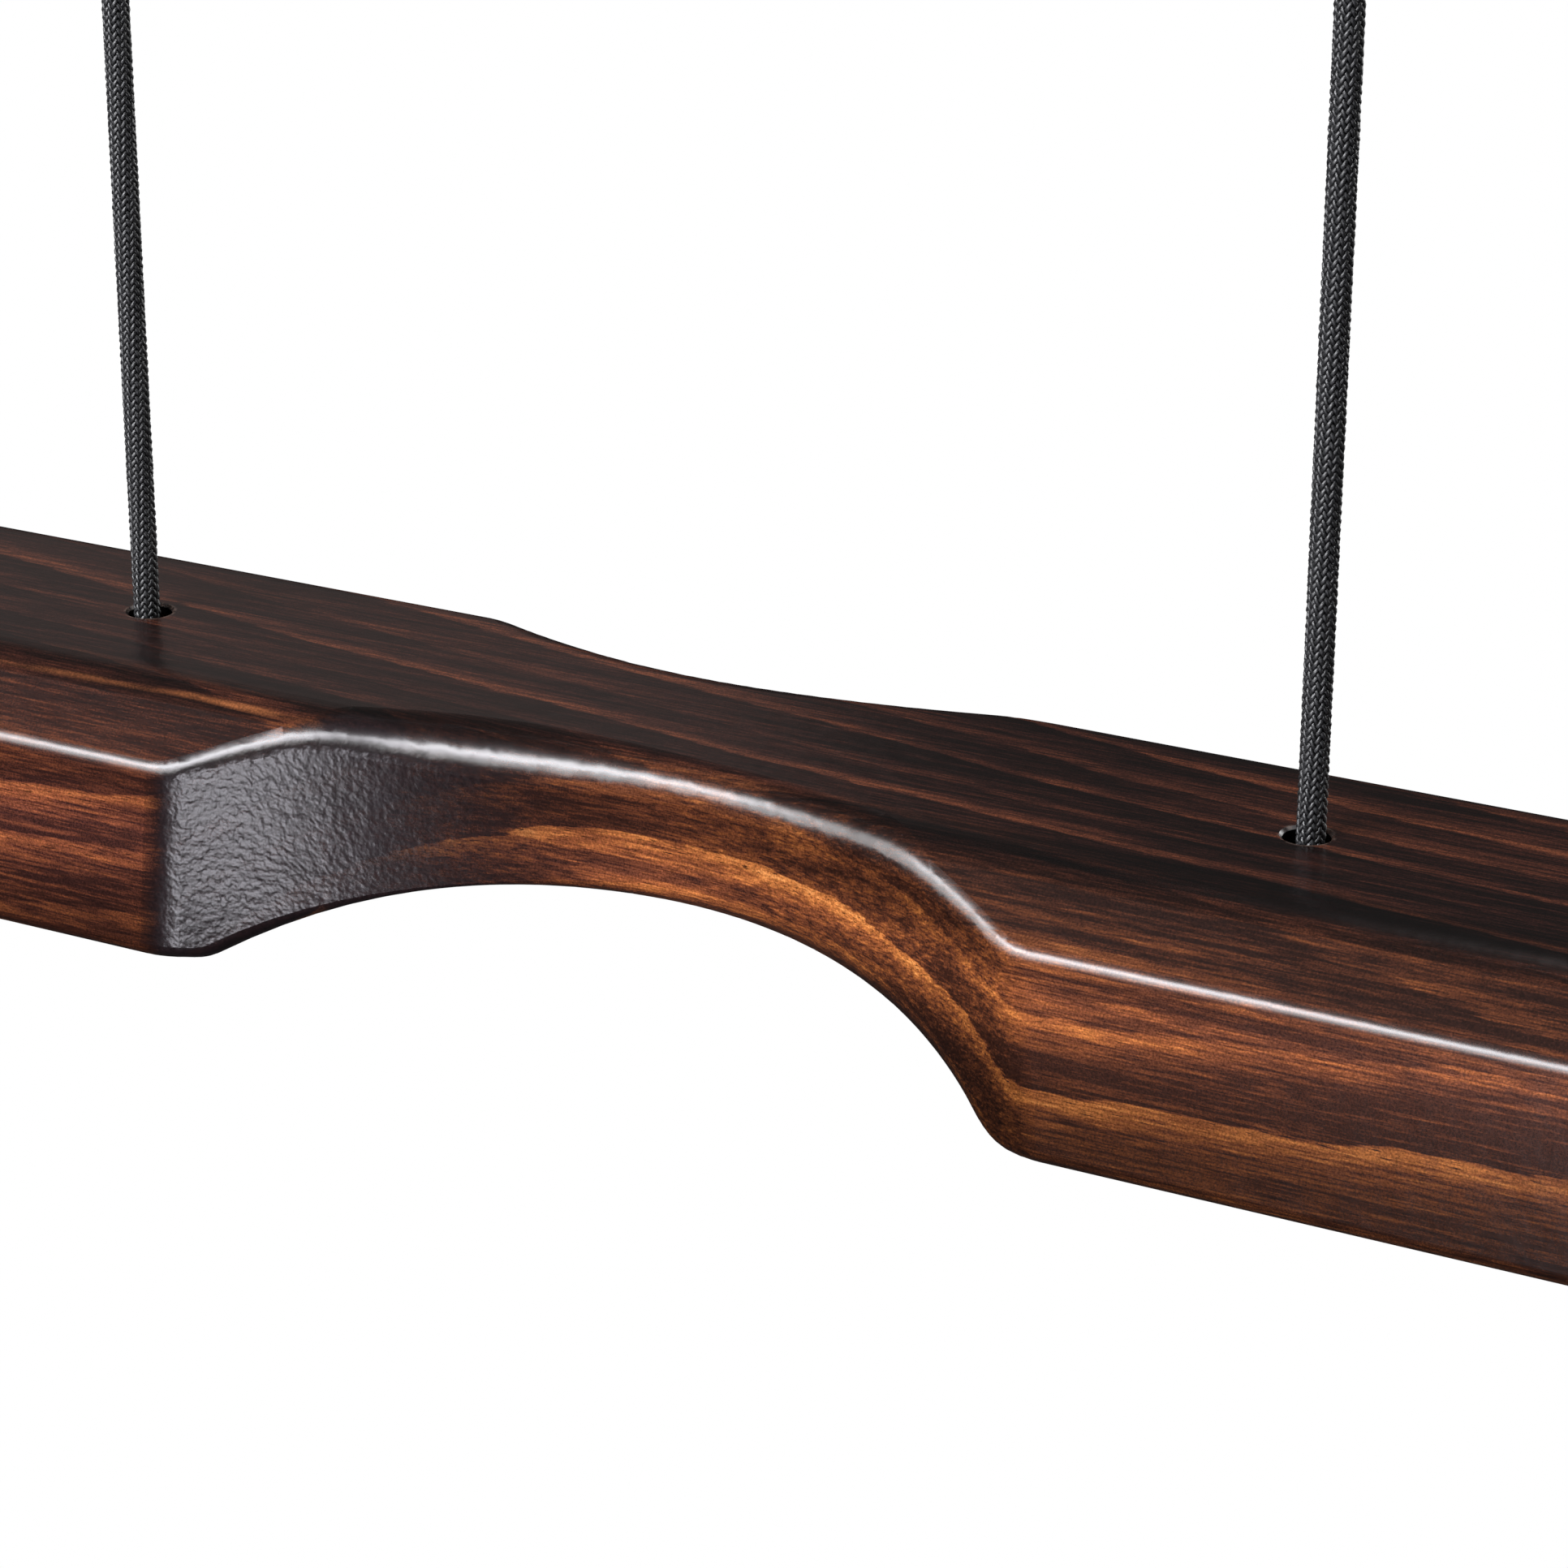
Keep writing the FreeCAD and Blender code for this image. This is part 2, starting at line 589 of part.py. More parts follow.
def cord_run(sign, name):
    """The straight length that hangs from the whipping to the bar."""
    top = "-(Sizes.throat_drop + Sizes.whipping_length)"
    length = "Sizes.drop - Sizes.run_gap - Sizes.throat_drop - Sizes.whipping_length"
    return cylinder(f"{name}_cord", at_cord(sign), top, "Sizes.cord_radius", length)


POCKET_FLOOR = "Sizes.bar_height - Sizes.pocket_depth"


def cord_tail(sign, name):
    """The cord's last stretch, through the bar and the washer."""
    return cylinder(f"{name}_cord_tail", at_cord(sign), "-Sizes.drop", "Sizes.cord_radius",
                    f"{POCKET_FLOOR} + Sizes.washer_thickness")


def washer(sign, name):
    """Flat steel washer against the counterbore's floor."""
    top = f"-(Sizes.drop + {POCKET_FLOOR})"
    disc = cylinder(f"{name}_washer_disc", at_cord(sign), top, "Sizes.washer_radius",
                    "Sizes.washer_thickness")
    hole = cylinder(f"{name}_washer_hole", at_cord(sign), top, "Sizes.washer_bore_radius",
                    "Sizes.washer_thickness")
    ring = doc.addObject("Part::Cut", f"{name}_washer")
    ring.Base = disc
    ring.Tool = hole
    ring.Label = f"{name}_washer"
    return ring


def stopper_knot(sign, name):
    """Knot that carries the bar, drawn up under the washer."""
    level = f"-(Sizes.drop + {POCKET_FLOOR} + Sizes.washer_thickness)"
    body = new_body(f"{name}_stopper_knot", at_cord(sign), level)
    outline = sketch_on(body, "XY_Plane", f"{name}_knot_outline")
    add_circle(outline, "0", "0", "Sizes.knot_radius")
    pad(body, outline, "Sizes.knot_height", reverse=True)
    round_edges(body, f"{name}_knot_rims", lambda p: near(math.hypot(p.x, p.y), size("knot_radius"))
                and (near(p.z, 0) or near(p.z, -size("knot_height"))), "Sizes.knot_round")
    return body


# --- the whole rail --------------------------------------------------------------------------


def write_parts(pieces):
    """Stops on any failed object or bad solid, then writes one STEP file for each piece."""
    doc.recompute()
    failed = [item.Name for item in doc.Objects if {"Invalid", "Error"} & set(item.State)]
    if failed:
        raise RuntimeError(f"failed objects: {failed}")
    for piece in pieces:
        if piece.Shape.isNull() or not piece.Shape.isValid() or len(piece.Shape.Solids) != 1:
            raise RuntimeError(f"{piece.Label} is not one valid solid")
    os.makedirs("parts", exist_ok=True)
    for piece in pieces:
        piece.Shape.exportStep(f"parts/{piece.Label}.step")
        print(f"{piece.Label}: {piece.Shape.Volume:.1f} mm3")


MAKERS = (pad_eye, shackle, shackle_pin, thimble, cord_loop, whipping,
          cord_run, cord_tail, washer, stopper_knot)
write_parts([grip_bar(), *(make(sign, name) for sign, name in SIDES for make in MAKERS)])
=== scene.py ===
"""Looks of the hanging grab rail: camera, braided cords, twine, lacquered wood, steel and light.

Metres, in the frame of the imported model: the deckhead is z = 0 and the bar hangs below it. The
places and sizes of the bar, cords, knots and whippings are named in millimetres, and MM turns
them into metres. The camera, floor and lights are placed in metres.
"""

import math

import bpy
import numpy as np
from mathutils import Matrix, Vector


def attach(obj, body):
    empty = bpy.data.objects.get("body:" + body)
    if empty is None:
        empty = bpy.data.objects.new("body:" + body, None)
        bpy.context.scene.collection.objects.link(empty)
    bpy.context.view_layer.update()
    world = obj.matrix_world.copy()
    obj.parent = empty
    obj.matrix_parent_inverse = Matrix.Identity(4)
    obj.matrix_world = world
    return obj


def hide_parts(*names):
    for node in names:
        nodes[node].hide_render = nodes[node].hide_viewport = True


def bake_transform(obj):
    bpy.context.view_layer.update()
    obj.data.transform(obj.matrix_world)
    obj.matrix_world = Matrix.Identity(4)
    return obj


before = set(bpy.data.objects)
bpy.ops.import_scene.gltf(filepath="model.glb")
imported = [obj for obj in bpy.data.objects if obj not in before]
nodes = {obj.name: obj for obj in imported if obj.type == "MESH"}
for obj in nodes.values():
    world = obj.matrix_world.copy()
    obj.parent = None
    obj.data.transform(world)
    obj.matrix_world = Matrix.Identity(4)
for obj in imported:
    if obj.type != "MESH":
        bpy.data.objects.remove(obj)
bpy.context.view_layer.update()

MM = 0.001
SIDES = (("left", -115.0), ("right", 115.0))  # each cord, along x
HOLE = 114.3                                  # each hole in the bar, along x
BAR_TOP = -221.0
CORD_FOOT = -256.8
WHIPPING_TOP, WHIPPING_FOOT = -61.0, -76.0


# --- camera ----------------------------------------------------------------------------------

CAMERA_PLACE = (0.36711, -0.64726, 0.05915)
CAMERA_ANGLES = (21.484, 28.332, 0.107)  # degrees down, to the left, and tilted
SENSOR_WIDTH, FOCAL_LENGTH = 36, 105.58


def make_camera():
    pitch, yaw, roll = (math.radians(a) for a in CAMERA_ANGLES)
    forward = Vector((-math.sin(yaw) * math.cos(pitch), math.cos(yaw) * math.cos(pitch),
                      -math.sin(pitch)))
    right = Vector((math.cos(yaw), math.sin(yaw), 0))
    up = right.cross(forward)
    tilted_right = math.cos(roll) * right + math.sin(roll) * up
    tilted_up = math.cos(roll) * up - math.sin(roll) * right
    data = bpy.data.cameras.new("camera")
    data.sensor_width = SENSOR_WIDTH
    data.lens = FOCAL_LENGTH
    data.clip_start, data.clip_end = 0.05, 60
    camera = bpy.data.objects.new("camera", data)
    bpy.context.scene.collection.objects.link(camera)
    turn = Matrix((tilted_right, tilted_up, -forward)).transposed()
    camera.matrix_world = Matrix.Translation(CAMERA_PLACE) @ turn.to_4x4()
    bpy.context.scene.camera = camera


make_camera()


# --- meshes ----------------------------------------------------------------------------------

def add_mesh(name, parts, materials):
    """One mesh object from parts of (points, quads, uv per point, material index)."""
    points, faces, uvs, slots = [], [], [], []
    start = 0
    for part_points, quads, uv, slot in parts:
        points.append(part_points)
        faces.append(quads + start)
        uvs.append(uv)
        slots.append(np.full(len(quads), slot))
        start += len(part_points)
    points, faces, uvs, slots = (np.concatenate(a) for a in (points, faces, uvs, slots))
    mesh = bpy.data.meshes.new(name)
    mesh.from_pydata(points.tolist(), [], faces.tolist())
    layer = mesh.uv_layers.new(name="along")
    corners = np.zeros(len(mesh.loops), int)
    mesh.loops.foreach_get("vertex_index", corners)
    layer.data.foreach_set("uv", uvs[corners].ravel())
    for material in materials:
        mesh.materials.append(material)
    mesh.polygons.foreach_set("material_index", slots)
    mesh.polygons.foreach_set("use_smooth", np.ones(len(faces), bool))
    mesh.update()
    obj = bpy.data.objects.new(name, mesh)
    bpy.context.scene.collection.objects.link(obj)
    return obj


def spline_points(name, controls, samples):
    """Points along the smooth line of some control points, evenly read."""
    data = bpy.data.curves.new(name, "CURVE")
    data.dimensions = "3D"
    data.resolution_u = samples
    spline = data.splines.new("NURBS")
    spline.points.add(len(controls) - 1)
    for point, co in zip(spline.points, controls):
        point.co = (*co, 1)
    spline.order_u = 3
    spline.use_endpoint_u = True
    curve = bpy.data.objects.new(name, data)
    bpy.context.scene.collection.objects.link(curve)
    mesh = bpy.data.meshes.new_from_object(curve)
    points = np.array([v.co for v in mesh.vertices], float)
    bpy.data.objects.remove(curve)
    bpy.data.meshes.remove(mesh)
    bpy.data.curves.remove(data)
    return points


class Line:
    """A smooth line with arc length and a frame that doesn't twist."""

    def __init__(self, points, normal):
        steps = np.linalg.norm(np.diff(points, axis=0), axis=1)
        self.along = np.concatenate([[0], np.cumsum(steps)])
        self.length = self.along[-1]
        self.points = points
        tangents = np.gradient(points, self.along, axis=0)
        self.tangents = tangents / np.linalg.norm(tangents, axis=1)[:, None]
        normals = [np.array(normal, float)]
        for t in self.tangents:
            n = normals[-1] - t * (normals[-1] @ t)
            normals.append(n / np.linalg.norm(n))
        self.normals = np.array(normals[1:])

    def at(self, s):
        """Point, normal and binormal at arc lengths s."""
        def read(values):
            return np.stack([np.interp(s, self.along, values[:, i]) for i in range(3)], axis=1)
        t, n = read(self.tangents), read(self.normals)
        t /= np.linalg.norm(t, axis=1)[:, None]
        n -= t * np.sum(n * t, axis=1)[:, None]
        n /= np.linalg.norm(n, axis=1)[:, None]
        return read(self.points), n, np.cross(t, n)


def ring_quads(count, sides):
    """The faces between rings of points that follow one another."""
    rows, cols = np.meshgrid(np.arange(count - 1), np.arange(sides), indexing="ij")
    following = (cols + 1) % sides
    quads = np.stack([rows * sides + cols, rows * sides + following,
                      (rows + 1) * sides + following, (rows + 1) * sides + cols], axis=-1)
    return quads.reshape(-1, 4)


def sweep(centres, across, outward, half_width, half_height, sides, slot):
    """A tube of oval section along centres; uv runs across and along it."""
    count = len(centres)
    turn = np.arange(sides) * 2 * math.pi / sides
    points = (centres[:, None] + across[:, None] * (np.cos(turn) * half_width)[None, :, None]
              + outward[:, None] * (np.sin(turn) * half_height)[None, :, None])
    steps = np.linalg.norm(np.diff(centres, axis=0), axis=1)
    along = np.concatenate([[0], np.cumsum(steps)])
    u = np.broadcast_to(np.cos(turn) * 0.5 + 0.5, (count, sides))
    v = np.broadcast_to(along[:, None], (count, sides))
    return (points.reshape(-1, 3), ring_quads(count, sides),
            np.stack([u, v], axis=-1).reshape(-1, 2), slot)


CORD_RADIUS = 2.5 * MM
BRAID_LEAD = 22.8 * MM
BRAID_TWIST = 260 * MM
CARRIERS = 16
READS_PER_CROSSING = 1.5
YARN_SIDES, CORE_SIDES = 5, 16
# Fractions of the cord's radius.
YARN_HALF_WIDTH, YARN_HALF_HEIGHT, YARN_RISE, YARN_SLACK = 0.168, 0.14, 0.115, 0.012
BRAID_CORE = 0.69
WEAVE_SHARPNESS = 1.6
SLACK_STEP, SLACK_MARGIN = 4 * MM, 10 * MM  # how often a yarn's tightness changes
CORE_STEP, FEWEST_CORE_RINGS = 1.5 * MM, 8


def braid(line, radius, rng):
    """Two sets of interlaced yarns round a line, over two and under two, on a dark core.

    A yarn meets the other set at fixed places round the cord and lies over it at two of every
    four, so its floats stack up in columns of V shapes. The whole braid turns a little.
    """
    half_width, half_height = YARN_HALF_WIDTH * radius, YARN_HALF_HEIGHT * radius
    rise = YARN_RISE * radius
    crossing = BRAID_LEAD / (2 * CARRIERS)
    s = np.linspace(0, line.length, int(round(line.length / crossing * READS_PER_CROSSING)))
    centre, normal, binormal = line.at(s)
    slack_places = np.arange(0, line.length + SLACK_MARGIN, SLACK_STEP)
    twist = 2 * math.pi * s / BRAID_TWIST
    parts = []
    for hand in (-1, 1):
        for carrier in range(CARRIERS):
            slack = np.interp(s, slack_places, rng.standard_normal(len(slack_places)))
            angle = hand * 2 * math.pi * s / BRAID_LEAD + 2 * math.pi * carrier / CARRIERS
            place = angle * CARRIERS / math.pi
            wave = np.cos((place - 0.5) * math.pi / 2)
            weave = hand * np.tanh(WEAVE_SHARPNESS * wave) / math.tanh(WEAVE_SHARPNESS)
            distance = radius - half_height - rise + rise * weave + YARN_SLACK * radius * slack
            turned = angle + twist
            outward = normal * np.cos(turned)[:, None] + binormal * np.sin(turned)[:, None]
            centres = centre + outward * distance[:, None]
            across = np.cross(np.gradient(centres, axis=0), outward)
            across /= np.linalg.norm(across, axis=1)[:, None]
            parts.append(sweep(centres, across, outward, half_width, half_height,
                               YARN_SIDES, 0))
    s = np.linspace(0, line.length, max(FEWEST_CORE_RINGS, int(line.length / CORE_STEP)))
    centre, normal, binormal = line.at(s)
    core = BRAID_CORE * radius
    parts.append(sweep(centre, normal, binormal, core, core, CORE_SIDES, 1))
    return parts


# The cord's route: (y, z) from its foot up, round the thimble and back into the whipping.
ROUTE = ((0, CORD_FOOT), (0, -106), (0, -78), (-2.0, -68), (-2.6, -59), (-12.5, -39.9),
         (-9.2, -30.4), (0, -26.5), (9.2, -30.4), (12.5, -39.9), (2.7, -59), (2.8, -62))
ROUTE_SAMPLES = 48


def cord_line(name, x):
    controls = [(x * MM, y * MM, z * MM) for y, z in ROUTE]
    return Line(spline_points(f"{name}_route", controls, ROUTE_SAMPLES), (1, 0, 0))


# --- materials -------------------------------------------------------------------------------

class Shader:
    """A node material built step by step."""

    def __init__(self, name):
        self.material = bpy.data.materials.new(name)
        self.material.use_nodes = True
        self.tree = self.material.node_tree
        self.bsdf = self.tree.nodes["Principled BSDF"]

    def node(self, kind, inputs=None, **settings):
        made = self.tree.nodes.new(kind)
        for key, value in settings.items():
            setattr(made, key, value)
        for key, value in (inputs or {}).items():
            self.put(made.inputs[key], value)
        return made

    def put(self, socket, value):
        if isinstance(value, bpy.types.NodeSocket):
            self.tree.links.new(value, socket)
        else:
            socket.default_value = value

    def math(self, operation, *values, clamp=False):
        made = self.node("ShaderNodeMath", operation=operation, use_clamp=clamp)
        for socket, value in zip(made.inputs, values):
            self.put(socket, value)
        return made.outputs[0]

    def coords(self, kind="Object"):
        return self.node("ShaderNodeTexCoord").outputs[kind]

    def scaled(self, vector, scale, shift=(0, 0, 0)):
        return self.node("ShaderNodeMapping", {"Vector": vector, "Scale": scale,
                                               "Location": shift}).outputs[0]

    def noise(self, vector, scale=1.0, detail=2.0, roughness=0.5):
        return self.node("ShaderNodeTexNoise", {"Vector": vector, "Scale": scale, "Detail": detail,
                                                "Roughness": roughness}).outputs[0]

    def ramp(self, value, *stops):
        """Grey ramp from (position, level) pairs, read as a value."""
        return self.colours(value, *((p, (v, v, v)) for p, v in stops))

    def colours(self, value, *stops):
        made = self.node("ShaderNodeValToRGB", {"Fac": value})
        ramp = made.color_ramp
        while len(ramp.elements) < len(stops):
            ramp.elements.new(0.5)
        for element, (position, colour) in zip(ramp.elements, stops):
            element.position = position
            element.color = (*colour, 1)
        return made.outputs[0]

    def mix(self, factor, a, b, blend="MIX"):
        made = self.node("ShaderNodeMix", data_type="RGBA", blend_type=blend)
        for key, value in (("Factor", factor), ("A", a), ("B", b)):
            socket = [i for i in made.inputs if i.name == key and i.enabled][0]
            if isinstance(value, tuple) and len(value) == 3:
                value = (*value, 1)
            self.put(socket, value)
        return [o for o in made.outputs if o.enabled][0]

    def multiply(self, a, b):
        return self.mix(1.0, a, b, "MULTIPLY")

    def bump(self, height, distance, strength=1.0):
        return self.node("ShaderNodeBump", {"Height": height, "Distance": distance,
                                            "Strength": strength}).outputs[0]

    def set(self, **values):
        for key, value in values.items():
            self.put(self.bsdf.inputs[key.replace("_", " ")], value)


PITH = (69 * MM, (BAR_TOP - 90) * MM)  # (y, z) at the bar's middle
PITH_SLOPE = 0.1                       # its rise along x
RING = 6.2 * MM
RING_SHIFT = 0.69


class Wood(Shader):
    """Dark-stained pine under semi-gloss lacquer, in steps that share the bar's coordinates."""

    def __init__(self, name):
        super().__init__(name)
        self.place = self.coords()
        self.x, self.y, self.z = self.node("ShaderNodeSeparateXYZ",
                                           {"Vector": self.place}).outputs
        self.normal = self.node("ShaderNodeSeparateXYZ",
                                {"Vector": self.coords("Normal")}).outputs
        self.facing_up = self.ramp(self.normal[2], (0.3, 0.0), (0.76, 0.45), (0.96, 1.0))
        # 1 at 200 mm either side of the middle, so the hollow's darker colour fades at 120 to 150
        # mm.
        beside_middle = self.math("MULTIPLY", self.math("ABSOLUTE", self.x), 5.0)
        self.in_hollow = self.ramp(beside_middle, (0.6, 1.0), (0.75, 0.0))

    def vary(self, value, amount, scale, detail=2.0, roughness=0.5, clamp=False):
        """A value made uneven by noise, its scale given along, across and up the bar."""
        noise = self.noise(self.scaled(self.place, scale), detail=detail, roughness=roughness)
        about_zero = self.math("SUBTRACT", noise, 0.5)
        return self.math("MULTIPLY_ADD", about_zero, amount, value, clamp=clamp)

    def distance(self, a, b):
        return self.math("SQRT", self.math("ADD", self.math("MULTIPLY", a, a),
                                           self.math("MULTIPLY", b, b)))

    def late_wood(self):
        """How far each place is late wood: rings are cylinders about a pith along the bar."""
        dy = self.math("SUBTRACT", self.y, PITH[0])
        dz = self.math("SUBTRACT", self.z, PITH[1])
        dz = self.math("MULTIPLY_ADD", self.x, -PITH_SLOPE, dz)
        radius = self.distance(dy, dz)
        radius = self.vary(radius, 4 * MM, (5, 14, 14), 1)
        radius = self.vary(radius, 2.6 * MM, (30, 90, 90), 3)
        radius = self.vary(radius, 1.1 * MM, (110, 1200, 1200))
        ring = self.math("ADD", self.math("DIVIDE", radius, RING), RING_SHIFT)
        each = self.node("ShaderNodeTexWhiteNoise", {"W": self.math("FLOOR", ring)},
                         noise_dimensions="1D").outputs[0]
        late = self.ramp(self.math("FRACT", ring), (0.0, 0.08), (0.35, 0.1), (0.66, 0.45),
                         (0.88, 1.0), (0.97, 0.9), (1.0, 0.08))
        return self.math("MULTIPLY", late, self.math("MULTIPLY_ADD", each, 0.55, 0.45))

    def stain(self, late):
        """Soft early wood takes in the stain, so each ring goes from dark to a light late band.

        The front is more golden to the right, and the top is darker than the front.
        """
        level = self.math("MULTIPLY_ADD", late, 0.62, 0.12)
        level = self.vary(level, 0.95, (9, 50, 50), 2)
        level = self.vary(level, 1.0, (8, 430, 430), 3, 0.65)
        level = self.vary(level, 1.0, (60, 1500, 1500), 2, 0.65)
        level = self.vary(level, 0.8, (170, 2700, 2700), 2, 0.6, clamp=True)
        front = self.colours(level, (0.0, (0.018, 0.0058, 0.0042)), (0.25, (0.052, 0.0150, 0.0078)),
                             (0.5, (0.118, 0.034, 0.0125)), (0.8, (0.25, 0.081, 0.024)),
                             (1.0, (0.36, 0.135, 0.045)))
        # From 0 at 111 mm left of the middle to 1 at 111 mm right of it.
        rightward = self.math("MULTIPLY_ADD", self.x, 4.5, 0.5)
        golden = self.colours(rightward, (0.0, (0.9, 0.9, 0.97)), (0.8, (1.16, 1.2, 1.0)))
        front = self.multiply(front, golden)
        top = self.colours(self.math("POWER", level, 1.25), (0.0, (0.0045, 0.0019, 0.0016)),
                           (0.25, (0.0175, 0.0056, 0.0042)), (0.55, (0.052, 0.0155, 0.0088)),
                           (1.0, (0.140, 0.041, 0.018)))
        return self.mix(self.facing_up, front, top)

    def shade_faces(self, colour):
        """Painted light and shade down the front, and colour that darkens round the hollow and on
        the ends.
        """
        # Painted light and shade: the front is brightest a little below its top edge and darker
        # towards the bottom.
        drop = self.math("DIVIDE", self.math("SUBTRACT", BAR_TOP * MM, self.z), 50 * MM)
        drop = self.math("MULTIPLY_ADD", self.x, 0.6, drop)
        colour = self.multiply(colour, self.ramp(drop, (0.1, 1.0), (0.25, 1.1), (0.42, 2.35),
                                                 (0.6, 1.5), (0.74, 0.85), (0.9, 0.48)))
        # Near the middle the colour darkens by which way a face turns along the bar, most where it
        # faces right, and those walls of the hollow go near black; further out the ends are darker.
        turn = self.math("MULTIPLY_ADD", self.normal[0], 0.5, 0.5)
        darker_by_facing = self.ramp(turn, (0.0, 0.5), (0.3, 0.55), (0.42, 0.72), (0.49, 0.95),
                           (0.53, 0.75), (0.57, 0.4), (0.62, 0.2))
        end_stain = self.ramp(self.math("ABSOLUTE", self.normal[0]), (0.3, 0.95), (0.8, 0.6))
        colour = self.multiply(colour, self.mix(self.in_hollow, end_stain, darker_by_facing))
        right_facing_near_black = self.math("MULTIPLY", self.ramp(turn, (0.53, 0.0), (0.63, 0.85)),
                           self.in_hollow)
        return self.mix(right_facing_near_black, colour, (0.011, 0.0065, 0.0078))

    def mark_top(self, colour):
        """A painted dark reflection in a band on the top behind the front ridge, and a light streak
        along the left front ridge.
        """
        # Painted reflection: a dark band on the top, about 20 to 29 mm in front of its middle line,
        # where the rounding starts to mirror the dark room.
        across = self.math("DIVIDE", self.vary(self.y, 8 * MM, (14, 120, 120), 3), -60 * MM)
        dark_reflection_band = self.ramp(across, (0.33, 1.0), (0.37, 0.45), (0.44, 0.4), (0.48, 1.0))
        colour = self.multiply(colour, self.mix(self.facing_up, (1, 1, 1), dark_reflection_band))
        from_ridge = self.vary(self.math("ADD", self.y, 30 * MM), 5 * MM, (20, 60, 60))
        from_ridge = self.math("DIVIDE", self.math("ABSOLUTE", from_ridge), 2 * MM)
        # From 0 at 100 mm left of the middle to 1 at 100 mm right of it.
        rightward = self.math("MULTIPLY_ADD", self.x, 5.0, 0.5)
        on_left = self.ramp(rightward, (0.0, 0.3), (0.1, 1.0), (0.19, 0.9), (0.22, 0.0))
        streak = self.math("MULTIPLY", self.ramp(from_ridge, (0.1, 1.0), (0.42, 0.0)), on_left)
        broken = self.noise(self.scaled(self.place, (60, 400, 400)), detail=4)
        streak = self.math("MULTIPLY", streak, self.ramp(broken, (0.4, 0.1), (0.62, 1.0)))
        return self.mix(self.math("MULTIPLY", streak, 0.9), colour, (0.25, 0.085, 0.03))

    def grain(self, colour, late):
        """Fine grit all over, and dark pores that are mostly in the late wood."""
        grit = self.noise(self.place, scale=2600, detail=2, roughness=0.7)
        colour = self.multiply(colour, self.ramp(grit, (0.3, 0.5), (0.5, 1.0), (0.7, 1.7)))
        pores = self.noise(self.scaled(self.place, (230, 3000, 3000), (0.3, 0.1, 0.7)), detail=1)
        dash = self.math("MULTIPLY", self.ramp(pores, (0.64, 0.0), (0.7, 0.85)),
                         self.ramp(late, (0.2, 0.35), (0.6, 1.0)))
        return self.mix(dash, colour, (0.006, 0.003, 0.003))

    def shade_holes_and_wear_rims(self, colour):
        """Painted shade inside each cord hole, and a worn rim."""
        from_hole = self.math("SUBTRACT", self.math("ABSOLUTE", self.x), HOLE * MM)
        from_hole = self.math("DIVIDE", self.distance(from_hole, self.y), 10 * MM)
        # Painted shade: near black on the wall inside the hole.
        colour = self.multiply(colour, self.ramp(from_hole, (0.4, 0.03), (0.41, 1.0)))
        rim = self.ramp(from_hole, (0.4, 0.0), (0.42, 0.8), (0.46, 0.8), (0.5, 0.0))
        worn = self.ramp(self.noise(self.place, scale=700), (0.42, 0.0), (0.6, 1.0))
        return self.mix(self.math("MULTIPLY", rim, worn), colour, (0.11, 0.075, 0.06))

    def relief(self):
        """Waves in the lacquer, and a rougher peel over end grain."""
        peel = self.noise(self.place, scale=850, detail=1.5)
        wave = self.noise(self.place, scale=150, detail=2)
        end_grain = self.ramp(self.math("ABSOLUTE", self.normal[0]), (0.05, 0.12), (0.35, 1.0))
        end_grain = self.math("MULTIPLY", end_grain,
                              self.ramp(self.normal[2], (0.12, 1.0), (0.42, 0.08)))
        height = self.math("MULTIPLY_ADD", self.math("MULTIPLY", peel, end_grain), 0.42,
                           self.math("MULTIPLY", wave, 0.45))
        return self.bump(height, 0.25 * MM)


def wood_material():
    w = Wood("lacquered_pine")
    late = w.late_wood()
    colour = w.mark_top(w.shade_faces(w.stain(late)))
    colour = w.shade_holes_and_wear_rims(w.grain(colour, late))
    relief = w.relief()
    w.set(Base_Color=colour, Roughness=0.5, Normal=relief, Coat_Weight=1.0, Coat_Roughness=0.25,
          Coat_Normal=relief, Specular_IOR_Level=0.0)
    return w.material


def yarn_material():
    """Black filament yarn: fine threads along each carrier, painted shade at its sides, a soft grey
    shine.
    """
    w = Shader("black_yarn")
    uv = w.coords("UV")
    threads = w.noise(w.scaled(uv, (7, 450, 1)), detail=2, roughness=0.7)
    colour = w.colours(threads, (0.3, (0.008, 0.008, 0.0088)), (0.6, (0.016, 0.0165, 0.018)),
                       (0.8, (0.034, 0.035, 0.038)))
    across = w.node("ShaderNodeSeparateXYZ", {"Vector": uv}).outputs[0]
    # Painted shade: each yarn is darker at its sides, where it meets its neighbours.
    painted_side_shade = w.ramp(across, (0.0, 0.1), (0.28, 1.0), (0.72, 1.0), (1.0, 0.1))
    colour = w.multiply(colour, painted_side_shade)
    relief = w.bump(threads, 0.05 * MM)
    w.set(Base_Color=colour, Roughness=0.42, Normal=relief, Specular_IOR_Level=0.7)
    return w.material


def core_material():
    w = Shader("black_core")
    grain = w.noise(w.coords(), scale=2500)
    w.set(Base_Color=w.colours(grain, (0.3, (0.002, 0.002, 0.002)), (0.7, (0.006, 0.006, 0.006))),
          Roughness=0.9)
    return w.material


def twine_material():
    w = Shader("waxed_twine")
    uv = w.coords("UV")
    across, along, _ = w.node("ShaderNodeSeparateXYZ", {"Vector": uv}).outputs
    lay = w.math("ADD", w.math("MULTIPLY", along, 2600), w.math("MULTIPLY", across, 2.5))
    plies = w.math("ABSOLUTE", w.math("SINE", lay))
    # Painted shade: the twine is darker in the grooves between its plies.
    colour = w.colours(plies, (0.0, (0.004, 0.004, 0.004)), (0.6, (0.022, 0.021, 0.020)),
                       (1.0, (0.045, 0.043, 0.040)))
    w.set(Base_Color=colour, Roughness=0.5, Normal=w.bump(plies, 0.08 * MM))
    return w.material


